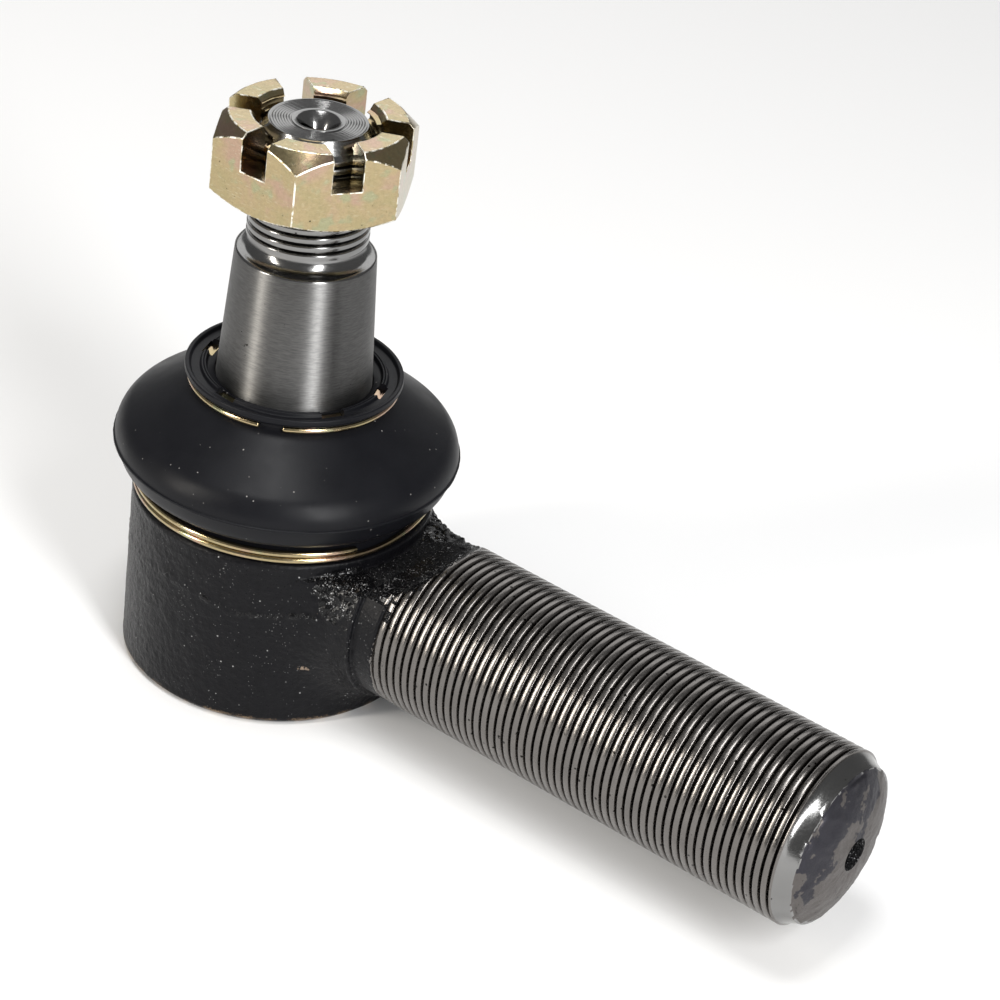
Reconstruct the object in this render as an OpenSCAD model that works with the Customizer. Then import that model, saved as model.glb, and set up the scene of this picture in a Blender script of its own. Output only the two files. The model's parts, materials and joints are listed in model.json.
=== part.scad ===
// Outer tie rod end: a forged eye with a threaded shank, holding a sealed ball stud.
// Millimetres. Z runs up the stud axis, X runs along the shank,
// and the origin is the middle of the housing's underside.

/* [Housing] */
// Outside diameter of the round socket housing
housing_d = 51; // [50:0.5:53]
// Height of the shoulder that the dust boot sits on
shoulder_z = 32; // [31.6:0.1:32.6]
// Diameter of the socket bore that holds the ball seats
bore_d = 40; // [39:0.25:41]
// Height of the ball centre and of the shank axis above the underside
socket_z = 21; // [20.9:0.05:21.1]

/* [Shank] */
// Major diameter of the shank thread, which also sets its outside size
shank_d = 30; // [27:0.5:32]
// Distance from the stud axis to the rim of the shank's domed end face
shank_reach = 115.2; // [90:0.5:140]
// Distance from the stud axis to the first full thread
thread_from = 33; // [32:0.5:40]

/* [Ball stud] */
// Diameter of the ball
ball_d = 30; // [29.5:0.1:30.2]
// Diameter of the taper at its small upper end
taper_top_d = 23.1; // [22.6:0.1:24]
// Length over which the taper's diameter changes by one millimetre
taper_ratio = 8; // [7.5:0.5:10]
// Height of the taper's small upper end
taper_top_z = 76.7; // [74:0.5:79]
// Major diameter of the stud thread
stud_thread_d = 20; // [19:0.5:20.5]
// Height of the stud's end face
stud_top_z = 99.6; // [99.2:0.1:100.4]

/* [Castle nut] */
// Width across the flats
nut_flats = 30; // [29:0.5:32]
// Height of the nut with its crown
nut_h = 13.4; // [12.8:0.2:14]
// Width of the six crown slots
slot_w = 5; // [4:0.25:5.5]
// Depth of the six crown slots
slot_h = 6.4; // [6:0.2:6.8]

/* [Dust boot] */
// Outside diameter of the boot at its moulding seam
boot_d = 58.5; // [58:0.25:60]
// Thickness of the boot's rubber wall
boot_wall = 2; // [1.8:0.1:2.3]
// Outside diameter of the boot's upper lip
lip_d = 36.4; // [36:0.2:37.4]
// Wire diameter of the boot's two clips
wire_d = 1.2; // [1:0.05:1.2]

/* [Hidden] */

$fa = 4;
$fs = 0.5;

cut = 0.01;          // overlap that keeps cuts clear of shared faces
fit = 0.05;          // gap between pieces that are seated in each other
running_gap = 0.04;  // radial gap round the ball
edge = 0.8;          // chamfer on the forging's corners
round_fn = 120;      // sides of the large round bodies

// housing
housing_r = housing_d / 2;
bore_r = bore_d / 2;
neck_r = housing_r - 3.2;          // seat of the boot's lower lip
neck_h = 3.6;                      // height of that seat
bead_r = neck_r + 0.9;             // bead that keeps the lip on its seat
bead_h = 1.6;
mouth_z = shoulder_z + neck_h + bead_h + 0.8;
cone_low_z = socket_z + 6.5;       // bore cone that backs the upper seat
cone_high_z = socket_z + 11.5;
throat_r = 14.2;
mouth_r = 17.5;
shank_r = shank_d / 2;
root_r = shank_r + 3;              // forged swelling where the shank leaves the eye
root_lip_r = shank_r + 0.6;        // where the swelling meets the turned collar
root_from = housing_r - 3;
root_to = thread_from - 3.5;
end_chamfer = 1.7;
end_chamfer_l = 2.9;
end_rim_r = shank_r - end_chamfer;
end_dome_h = 2.8;
end_dome_r = (end_rim_r * end_rim_r + end_dome_h * end_dome_h) / (2 * end_dome_h);
dome_steps = 6;
end_flat_r = 3.4;
scoop_z = shoulder_z - 2.3;        // floor of the relief turned into the shank root below the boot
scoop_r = housing_r + 13;          // reach of the relief at the top of the shank
scoop_h = socket_z + shank_r - scoop_z;
groove_r = bore_r + 1.3;           // snap ring groove
groove_z = 0.95;
groove_h = 1.7;

// closure
cover_r = bore_r - fit;
cover_z = groove_z + groove_h;
cover_h = 2.95;
cover_top_z = cover_z + cover_h;
seal_r = 0.7;
seal_groove_r = cover_r - 1.45;
seal_groove_h = 1.5;
seal_z = cover_z + cover_h / 2;
boss_r = 8;                        // boss pressed out of the cover, level with the underside
boss_slope = 3;
cover_t = 2.4;
ring_h = groove_h - 4 * fit;
ring_out_r = groove_r - 0.1;
ring_in_r = bore_r - 2.2;
ring_gap_deg = 26;
ear_r = 2.3;
ear_hole_r = 1;

// ball and its seats
ball_r = ball_d / 2;
seat_r = bore_r - fit;
seat_in_r = ball_r + running_gap;
ball_flat_z = socket_z - 11;
upper_seat_z = socket_z + 0.3;
upper_seat_top_z = socket_z + 8.2;
lower_seat_top_z = socket_z - 0.1;
lower_seat_z = cover_top_z + 1.3;
lower_hole_r = 8;
cone_slope = (bore_r - throat_r) / (cone_high_z - cone_low_z);
spring_in_r = 9;
spring_out_r = bore_r - 2;
spring_t = 0.7;

// stud
taper_top_r = taper_top_d / 2;
taper_low_z = 47;
function taper_r(z) = taper_top_r + (taper_top_z - z) / taper_ratio / 2;
stud_neck_r = 8.4;
flare_r = 10;
flare_z = socket_z + 23;
stud_r = stud_thread_d / 2;
relief_r = stud_r - 1.05;
relief_z = taper_top_z + 2.2;
relief_h = 0.8;
tip_r = stud_r - 1.9;              // long chamfer on the stud's end
tip_h = 2;
thread_start_h = 0.8;
center_r = 3.5;                    // centre drillings in the end faces
shank_center_r = 2.8;
center_drill_r = 1.6;
pin_hole_r = 2;

// castle nut
nut_z = stud_top_z - 12.5;
nut_top_z = nut_z + nut_h;
nut_corner_r = nut_flats / 2 / cos(30);
nut_face_r = nut_flats / 2 - 0.6;
nut_chamfer_h = (nut_corner_r - nut_face_r) * tan(30);
crown_face_r = nut_flats / 2 - 0.7;
crown_chamfer_h = nut_corner_r - crown_face_r;
nut_bore_r = stud_r + fit;
countersink = 0.9;
crown_sink = 0.8;
pin_hole_z = nut_top_z - slot_h + pin_hole_r + 0.3;

// boot
boot_r = boot_d / 2;
lip_r = lip_d / 2;
lip_top_z = 55;
lip_under_z = 50.3;
seam_z = shoulder_z + 8.7;
shoulder_arc_r = 5.5;             // rounding from the seam into the dome
arc_center_r = boot_r - shoulder_arc_r;
dome_deg = 57;                    // how far the dome's straight flank leans in from the vertical
arc_steps = 6;
wire_r = wire_d / 2;
boot_seat_r = neck_r + fit;
lower_lip_r = neck_r + 2.15;
lower_lip_top_z = shoulder_z + 3.1;
lower_wire_r = lower_lip_r + wire_r + fit;  // radius of the wire's centre line
lower_wire_z = shoulder_z + 0.3 + wire_r;
wire_step = wire_d - 0.05;         // the turns press on each other
upper_wire_z = lip_top_z - 2.25;
upper_groove_r = lip_r - 1.7;
upper_wire_r = upper_groove_r + wire_r + fit;
upper_gap_deg = 13;                // open part of the single-turn clip
upper_gap_at = 299;
lower_gap_deg = 40;                // where the lower clip has one turn only
lower_gap_at = 360;
lip_floor_z = lip_top_z - 1;
insert_in_r = 14;
insert_out_r = 15.8;
insert_z = 52.4;
insert_h = 1.3;
notch_w = 4;
notches = [20, 92, 200, 265, 335];   // bearings of the notches that show the insert

black_steel = [0.09, 0.09, 0.1];
bare_steel = [0.62, 0.6, 0.57];
zinc = [0.8, 0.7, 0.42];
rubber = [0.07, 0.07, 0.08];
resin = [0.85, 0.83, 0.76];

// a ring of round wire about Z
module wire_ring(r, z, wire, open_deg = 0, bearing = 0) {
    translate([0, 0, z])
        rotate([0, 0, bearing + open_deg / 2])
            rotate_extrude(angle = 360 - open_deg, $fn = round_fn)
                translate([r, 0])
                    circle(r = wire, $fn = 16);
}

// a tapered plug in the end of a turned bar, mouth upward at z = 0
module center_drilling(mouth) {
    cone_l = (mouth - center_drill_r) * 1.7;
    translate([0, 0, -cone_l])
        cylinder(r1 = center_drill_r, r2 = mouth, h = cone_l + cut);
    translate([0, 0, -cone_l - center_drill_r])
        cylinder(r = center_drill_r, h = center_drill_r + cut);
}

module eye_body() {
    rotate_extrude($fn = round_fn)
        polygon([
            [0, 0],
            [housing_r - edge, 0],
            [housing_r, edge],
            [housing_r, shoulder_z - edge / 2],
            [housing_r - edge / 2, shoulder_z],
            [neck_r, shoulder_z],
            [neck_r, shoulder_z + neck_h],
            [bead_r, shoulder_z + neck_h + bead_h / 3],
            [bead_r, shoulder_z + neck_h + bead_h],
            [bead_r - edge, mouth_z],
            [0, mouth_z]
        ]);
}

// height of the domed end face above its rim, at a given radius
function end_dome(r) = end_dome_h - end_dome_r + sqrt(end_dome_r * end_dome_r - r * r);

module shank() {
    translate([0, 0, socket_z])
        rotate([0, 90, 0])
            rotate_extrude($fn = round_fn)
                polygon(concat(
                    [
                        [0, 0],
                        [root_r, 0],
                        [root_r, root_from],
                        [(root_r + 2 * root_lip_r) / 3, (root_from + root_to) / 2],
                        [root_lip_r, root_to - edge],
                        [shank_r, root_to],
                        [shank_r, shank_reach - end_chamfer_l]
                    ],
                    [
                        for (step = [0 : dome_steps])
                            let (r = end_rim_r + (end_flat_r - end_rim_r) * step / dome_steps)
                                [r, shank_reach + end_dome(r)]
                    ],
                    [[0, shank_reach + end_dome(end_flat_r)]]
                ));
}

// keeps the boot, its clip and the socket's mouth clear of the shank root
module root_relief() {
    rotate_extrude($fn = round_fn)
        polygon([
            [0, shoulder_z],
            [housing_r, shoulder_z],
            [housing_r, scoop_z],
            [scoop_r - 7, scoop_z],
            [scoop_r - 3.6, scoop_z + 0.2 * scoop_h],
            [scoop_r - 1.2, scoop_z + 0.55 * scoop_h],
            [scoop_r, scoop_z + scoop_h],
            [scoop_r, socket_z + root_r + cut],
            [0, socket_z + root_r + cut]
        ]);
}

module socket_bore() {
    rotate_extrude($fn = round_fn)
        polygon([
            [0, -cut],
            [bore_r + edge, -cut],
            [bore_r, edge],
            [bore_r, groove_z],
            [groove_r, groove_z],
            [groove_r, groove_z + groove_h],
            [bore_r, groove_z + groove_h],
            [bore_r, cone_low_z],
            [throat_r, cone_high_z],
            [mouth_r, mouth_z + cut],
            [0, mouth_z + cut]
        ]);
}

module housing() {
    color(black_steel)
        difference() {
            union() {
                difference() {
                    shank();
                    root_relief();
                }
                eye_body();
            }
            socket_bore();
            translate([shank_reach + end_dome(end_flat_r), 0, socket_z])
                rotate([0, 90, 0])
                    center_drilling(shank_center_r);
        }
}

module upper_ball_seat() {
    color(resin)
        difference() {
            rotate_extrude($fn = round_fn)
                polygon([
                    [10, upper_seat_z],
                    [seat_r, upper_seat_z],
                    [seat_r, cone_low_z - fit],
                    [seat_r - (upper_seat_top_z - cone_low_z + fit) * cone_slope, upper_seat_top_z],
                    [10, upper_seat_top_z]
                ]);
            translate([0, 0, socket_z])
                sphere(r = seat_in_r, $fn = 96);
        }
}

module lower_ball_seat() {
    color(resin)
        difference() {
            rotate_extrude($fn = round_fn)
                polygon([
                    [lower_hole_r, lower_seat_z],
                    [seat_r - edge, lower_seat_z],
                    [seat_r, lower_seat_z + edge],
                    [seat_r, lower_seat_top_z],
                    [lower_hole_r, lower_seat_top_z]
                ]);
            translate([0, 0, socket_z])
                sphere(r = seat_in_r, $fn = 96);
        }
}

module preload_spring() {
    spring_low = cover_top_z + fit;
    spring_high = lower_seat_z - fit;
    color(bare_steel)
        rotate_extrude($fn = round_fn)
            polygon([
                [spring_out_r, spring_low],
                [spring_out_r, spring_low + spring_t],
                [spring_in_r, spring_high],
                [spring_in_r, spring_high - spring_t]
            ]);
}

module end_cover() {
    seal_low = seal_z - seal_groove_h / 2;
    seal_high = seal_z + seal_groove_h / 2;
    color(zinc)
        rotate_extrude($fn = round_fn)
            polygon([
                [0, 0],
                [boss_r, 0],
                [boss_r + boss_slope, cover_z],
                [cover_r, cover_z],
                [cover_r, seal_low],
                [seal_groove_r, seal_low],
                [seal_groove_r, seal_high],
                [cover_r, seal_high],
                [cover_r, cover_top_z],
                [boss_r + boss_slope, cover_top_z],
                [boss_r, cover_t],
                [0, cover_t]
            ]);
}

module cover_seal() {
    color(rubber)
        rotate_extrude($fn = round_fn)
            translate([seal_groove_r + fit / 2 + seal_r, seal_z])
                circle(r = seal_r, $fn = 16);
}

module cover_snap_ring() {
    ear_at = ring_in_r + 0.8;
    color(bare_steel)
        translate([0, 0, groove_z + 2 * fit])
            difference() {
                union() {
                    rotate([0, 0, ring_gap_deg / 2])
                        rotate_extrude(angle = 360 - ring_gap_deg, $fn = round_fn)
                            translate([ring_in_r, 0])
                                square([ring_out_r - ring_in_r, ring_h]);
                    for (side = [-1, 1])
                        rotate([0, 0, side * (ring_gap_deg / 2 + 3)])
                            translate([ear_at, 0, 0])
                                cylinder(r = ear_r, h = ring_h);
                }
                for (side = [-1, 1])
                    rotate([0, 0, side * (ring_gap_deg / 2 + 3)])
                        translate([ear_at, 0, -cut])
                            cylinder(r = ear_hole_r, h = ring_h + 2 * cut);
            }
}

module stud_shaft() {
    rotate_extrude($fn = round_fn)
        polygon([
            [0, socket_z],
            [stud_neck_r, socket_z],
            [stud_neck_r, flare_z - 5],
            [flare_r, flare_z],
            [taper_r(taper_low_z) - edge / 2, taper_low_z - edge],
            [taper_r(taper_low_z), taper_low_z],
            [taper_top_r, taper_top_z - edge / 4],
            [taper_top_r - edge / 4, taper_top_z],
            [relief_r, relief_z],
            [relief_r, relief_z + relief_h],
            [stud_r, relief_z + 2 * relief_h],
            [stud_r, stud_top_z - tip_h - thread_start_h],
            [stud_r - thread_start_h, stud_top_z - tip_h],
            [tip_r, stud_top_z],
            [0, stud_top_z]
        ]);
}

module ball_stud() {
    color(bare_steel)
        difference() {
            union() {
                translate([0, 0, socket_z])
                    sphere(r = ball_r, $fn = 96);
                stud_shaft();
            }
            translate([-ball_r, -ball_r, socket_z - ball_r - 1])
                cube([ball_d, ball_d, ball_flat_z - socket_z + ball_r + 1]);
            translate([0, 0, stud_top_z])
                center_drilling(center_r);
            translate([0, 0, ball_flat_z])
                mirror([0, 0, 1])
                    center_drilling(center_r);
            translate([0, 0, pin_hole_z])
                rotate([90, 0, 120])
                    cylinder(r = pin_hole_r, h = 2 * stud_thread_d, center = true);
        }
}

module castle_nut() {
    color(zinc)
        translate([0, 0, nut_z])
            difference() {
                intersection() {
                    cylinder(r = nut_corner_r, h = nut_h, $fn = 6);
                    rotate_extrude($fn = round_fn)
                        polygon([
                            [0, 0],
                            [nut_face_r, 0],
                            [nut_corner_r + cut, nut_chamfer_h],
                            [nut_corner_r + cut, nut_h - crown_chamfer_h],
                            [crown_face_r, nut_h],
                            [0, nut_h]
                        ]);
                }
                translate([0, 0, -cut])
                    cylinder(r = nut_bore_r, h = nut_h + 2 * cut);
                translate([0, 0, -cut])
                    cylinder(r1 = nut_bore_r + countersink, r2 = nut_bore_r, h = countersink);
                translate([0, 0, nut_h - crown_sink])
                    cylinder(r1 = nut_bore_r, r2 = nut_bore_r + crown_sink, h = crown_sink + cut);
                for (turn = [0, 60, 120])
                    rotate([0, 0, 30 + turn])
                        translate([-nut_flats, -slot_w / 2, nut_h - slot_h])
                            cube([2 * nut_flats, slot_w, slot_h + cut]);
            }
}

// round stretch from the seam to the foot of the dome, at a given depth inside the rubber
function dome_arc(depth) = [
    for (step = [0 : arc_steps])
        [arc_center_r + (shoulder_arc_r - depth) * cos(step * dome_deg / arc_steps),
         seam_z + (shoulder_arc_r - depth) * sin(step * dome_deg / arc_steps)]
];

// foot of the dome's straight flank, at a given depth inside the rubber
function foot_r(depth) = arc_center_r + (shoulder_arc_r - depth) * cos(dome_deg);
function foot_z(depth) = seam_z + (shoulder_arc_r - depth) * sin(dome_deg);

// outside of the rubber from the lower lip to the upper lip
function boot_outside() = concat(
    [
        [lower_lip_r, shoulder_z + 2 * fit],
        [lower_lip_r, lower_lip_top_z],
        [boot_r - 1.4, seam_z - 3.6],
        [boot_r - 0.3, seam_z - 1.2]
    ],
    dome_arc(0),
    [
        [upper_groove_r, foot_z(0) + (foot_r(0) - upper_groove_r) / tan(dome_deg)],
        [upper_groove_r, upper_wire_z + wire_r + 2 * fit],
        [lip_r - 0.4, lip_top_z - 1.5],
        [lip_r, lip_top_z - 1.1],
        [lip_r, lip_top_z]
    ]
);

function reversed(points) = [for (i = [len(points) - 1 : -1 : 0]) points[i]];

// lip face with its raised rim, groove, rib and lower floor
function lip_face() = [
    [lip_r - 0.8, lip_top_z],
    [lip_r - 1, lip_top_z - 0.6],
    [lip_r - 2.7, lip_top_z - 0.6],
    [lip_r - 2.8, lip_top_z - 0.1],
    [lip_r - 3.4, lip_top_z - 0.1],
    [lip_r - 3.6, lip_floor_z],
    [taper_r(lip_floor_z) + fit, lip_floor_z]
];

// hollow side of the rubber, from the lower lip up to the stud
function boot_inside() = concat(
    [
        [boot_seat_r, shoulder_z + 2 * fit],
        [boot_seat_r, shoulder_z + neck_h - 2 * fit],
        [bead_r + 0.4, shoulder_z + neck_h + 2 * fit],
        [bead_r + 0.4, shoulder_z + neck_h + bead_h],
        [boot_r - boot_wall - 1.6, seam_z - 2.8],
        [boot_r - boot_wall - 0.3, seam_z - 1]
    ],
    dome_arc(boot_wall),
    [
        [foot_r(boot_wall) - (lip_under_z - foot_z(boot_wall)) * tan(dome_deg), lip_under_z],
        [taper_r(lip_under_z) + fit, lip_under_z]
    ]
);

module dust_boot() {
    color(rubber)
        difference() {
            rotate_extrude($fn = 96)
                polygon(concat(boot_outside(), lip_face(), reversed(boot_inside())));
            // pocket of the lip's reinforcing ring
            rotate_extrude($fn = 96)
                translate([insert_in_r - fit, insert_z - fit])
                    square([insert_out_r - insert_in_r + 2 * fit, insert_h + 2 * fit]);
            for (bearing = notches)
                rotate([0, 0, bearing])
                    translate([insert_in_r - 0.2, -notch_w / 2, insert_z + insert_h])
                        cube([insert_out_r - insert_in_r + 0.2, notch_w, lip_top_z]);
        }
}

module boot_lip_insert() {
    color(zinc)
        rotate_extrude($fn = round_fn)
            translate([insert_in_r, insert_z])
                square([insert_out_r - insert_in_r, insert_h]);
}

module boot_upper_clip() {
    color(zinc)
        wire_ring(upper_wire_r, upper_wire_z, wire_r, upper_gap_deg, upper_gap_at);
}

// two touching turns of one wire, joined where the upper turn ends
module boot_lower_clip() {
    color(zinc) {
        wire_ring(lower_wire_r, lower_wire_z, wire_r);
        wire_ring(lower_wire_r, lower_wire_z + wire_step, wire_r, lower_gap_deg, lower_gap_at);
    }
}

housing();
upper_ball_seat();
lower_ball_seat();
preload_spring();
end_cover();
cover_seal();
cover_snap_ring();
ball_stud();
castle_nut();
dust_boot();
boot_lip_insert();
boot_upper_clip();
boot_lower_clip();
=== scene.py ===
import json
import math

import bmesh
import bpy
import numpy as np
from mathutils import Matrix, Vector, noise


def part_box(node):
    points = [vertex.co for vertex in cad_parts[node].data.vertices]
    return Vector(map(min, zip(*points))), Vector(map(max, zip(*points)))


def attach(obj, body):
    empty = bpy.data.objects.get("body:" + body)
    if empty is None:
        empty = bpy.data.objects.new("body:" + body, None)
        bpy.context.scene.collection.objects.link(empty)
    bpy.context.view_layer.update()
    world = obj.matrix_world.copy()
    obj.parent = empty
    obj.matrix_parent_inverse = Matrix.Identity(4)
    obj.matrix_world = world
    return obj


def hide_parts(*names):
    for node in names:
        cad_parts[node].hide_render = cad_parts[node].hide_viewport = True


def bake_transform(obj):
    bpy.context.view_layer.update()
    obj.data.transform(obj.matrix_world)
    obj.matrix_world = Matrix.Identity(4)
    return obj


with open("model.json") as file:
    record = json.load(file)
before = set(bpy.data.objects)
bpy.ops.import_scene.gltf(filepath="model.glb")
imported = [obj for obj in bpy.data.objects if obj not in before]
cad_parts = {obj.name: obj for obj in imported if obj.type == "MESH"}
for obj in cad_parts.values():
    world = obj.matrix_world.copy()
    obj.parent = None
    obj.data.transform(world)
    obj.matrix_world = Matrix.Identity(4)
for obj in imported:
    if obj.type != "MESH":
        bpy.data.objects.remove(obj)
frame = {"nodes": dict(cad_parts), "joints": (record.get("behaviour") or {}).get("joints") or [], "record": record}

# The looks of an outer tie rod end. Sizes are in millimetres and are turned into metres
# where a mesh or a position is made.
MM = 0.001
TAU = 2 * math.pi
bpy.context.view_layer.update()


def corner(node):
    """Highest corner of a CAD node, in millimetres."""
    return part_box(node)[1] / MM


def foot_z(node):
    """Height of a CAD node's lowest point, in millimetres."""
    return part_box(node)[0].z / MM


# ---------------- sizes

eye_r = corner("housing").y
shank_end = corner("housing").x
mouth_z = corner("housing").z
socket_z = frame["joints"][0]["pos_m"][2] / MM
shank_r = next(m["dims"]["r_mm"] for m in frame["record"]["mounts"] if m["name"] == "shank")
shoulder_z = mouth_z - 6
neck_r = eye_r - 3.2
bead_r = neck_r + 0.9
bore_r = 20
snap_r = 21.3                  # snap ring groove: its radius, and the heights of its sides
snap_low, snap_high = 0.95, 2.65
collar_from = 29.2             # turned collar between the forging and the thread
thread_from = 33
thread_to = 112.2
end_rim_x = thread_to + 3      # rim of the domed end face
end_rim_r = shank_r - 1.7
end_flat_r = 3.4               # faced flat round the centre hole
scoop_z = shoulder_z - 2.3     # relief turned into the shank root
scoop_r = eye_r + 13
shank_thread = {"r": shank_r, "depth": 0.8, "pitch": 1.5}

stud_top = corner("ball_stud").z
nut_top = corner("castle_nut").z
nut_low = foot_z("castle_nut")
nut_flats = 2 * corner("castle_nut").y
boot_r = corner("dust_boot").y
lip_top = corner("dust_boot").z
insert_bore = 14
insert_r = corner("boot_lip_insert").x
insert_z = corner("boot_lip_insert").z
upper_wire_z = (corner("boot_upper_clip").z + foot_z("boot_upper_clip")) / 2
wire_r = (corner("boot_upper_clip").z - foot_z("boot_upper_clip")) / 2
taper_from = 47
taper_top, taper_top_r = 76.7, 11.55
stud_thread_from, stud_thread_to = 79.6, 96.9
stud_thread = {"r": 10, "depth": 0.8, "pitch": 1.5}


def end_dome(r):
    """Height of the shank's domed end face above its rim, at a radius."""
    share = np.clip((end_rim_r - r) / (end_rim_r - end_flat_r), 0, 1)
    return (shank_end - end_rim_x) * (1 - (1 - share) ** 2)


def taper_r(z):
    """Radius of the stud's taper, 1 in 8 on diameter."""
    return taper_top_r + (taper_top - z) / 16


# ---------------- mesh helpers


def placed(name, data):
    """A new object in the scene."""
    made = bpy.data.objects.new(name, data)
    bpy.context.scene.collection.objects.link(made)
    return made


def mesh_object(name, points, faces, smooth=True):
    """A mesh object from points in millimetres."""
    mesh = bpy.data.meshes.new(name)
    mesh.from_pydata((np.asarray(points, float) * MM).tolist(), [], faces)
    mesh.validate()
    mesh.polygons.foreach_set("use_smooth", [smooth] * len(mesh.polygons))
    return placed(name, mesh)


def grid_faces(rows, columns, wrap=True):
    """Quads between neighbouring points of a grid of rows, each of which closes on itself if wrap."""
    faces = []
    for low in range(0, (rows - 1) * columns, columns):
        high = low + columns
        for j in range(columns if wrap else columns - 1):
            k = (j + 1) % columns
            faces.append((low + j, low + k, high + k, high + j))
    return faces


def outline(corners):
    """Closed outline of (r, z, fillet) corners, with each fillet as a short arc."""
    made = []
    count = len(corners)
    steps = 4
    most = 0.45                    # share of an edge that one fillet may take
    for i, (r, z, fillet) in enumerate(corners):
        here = Vector((r, z))
        if not fillet:
            made.append(here)
            continue
        before = Vector(corners[i - 1][:2]) - here
        after = Vector(corners[(i + 1) % count][:2]) - here
        reach = min(fillet, before.length * most, after.length * most)
        a = here + before.normalized() * reach
        b = here + after.normalized() * reach
        for k in range(steps + 1):
            t = k / steps
            made.append(a * (1 - t) ** 2 + here * 2 * t * (1 - t) + b * t ** 2)
    return made


def refined(points, longest):
    """The same closed outline with no edge longer than longest."""
    made = []
    for a, b in zip(points, points[1:] + points[:1]):
        parts = max(1, math.ceil((b - a).length / longest))
        made += [a.lerp(b, k / parts) for k in range(parts)]
    return made


def lathe(name, corners, columns=128, longest=math.inf):
    """Ring-shaped solid turned from a closed outline, or a full one where the outline meets the axis."""
    points = refined(outline(corners), longest)
    ring = [(math.cos(TAU * j / columns), math.sin(TAU * j / columns)) for j in range(columns)]
    made = [(p.x * c, p.x * s, p.y) for p in points + points[:1] for c, s in ring]
    return welded(mesh_object(name, made, grid_faces(len(points) + 1, columns)))


def welded(piece, distance=0.002):
    """Merges points that fall together and makes every face look outward."""
    made = bmesh.new()
    made.from_mesh(piece.data)
    bmesh.ops.remove_doubles(made, verts=made.verts, dist=distance * MM)
    bmesh.ops.dissolve_degenerate(made, edges=made.edges, dist=distance * MM / 4)
    bmesh.ops.recalc_face_normals(made, faces=made.faces)
    made.to_mesh(piece.data)
    made.free()
    return piece


def apply_modifier(piece, kind, **values):
    """Adds one modifier, sets it and applies it."""
    modifier = piece.modifiers.new(kind, kind)
    for key, value in values.items():
        setattr(modifier, key, value)
    bpy.context.view_layer.objects.active = piece
    piece.select_set(True)
    bpy.ops.object.modifier_apply(modifier=modifier.name)
    piece.select_set(False)
    return piece


def carve(piece, tool, operation="DIFFERENCE"):
    """Cuts the tool out of the piece, or keeps only what is inside it, and deletes the tool."""
    apply_modifier(piece, "BOOLEAN", operation=operation, object=tool, solver="EXACT")
    bpy.data.objects.remove(tool)


def crisp(piece, degrees):
    """Smooth shading that breaks at sharp edges."""
    piece.data.polygons.foreach_set("use_smooth", [True] * len(piece.data.polygons))
    piece.data.set_sharp_from_angle(angle=math.radians(degrees))
    return piece


def coat(piece, *materials):
    """Adds the piece's materials, index 0 first."""
    for material in materials:
        piece.data.materials.append(material)


def radii(points, axis_z=None):
    """Distance of each point from the stud axis, or from the shank axis at height axis_z."""
    if axis_z is None:
        return np.hypot(points[:, 0], points[:, 1])
    return np.hypot(points[:, 1], points[:, 2] - axis_z)


# ---------------- materials


def with_alpha(color):
    """A colour's socket as it is, or its three numbers with an alpha of 1."""
    return color if isinstance(color, bpy.types.NodeSocket) else (*color, 1)


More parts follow.
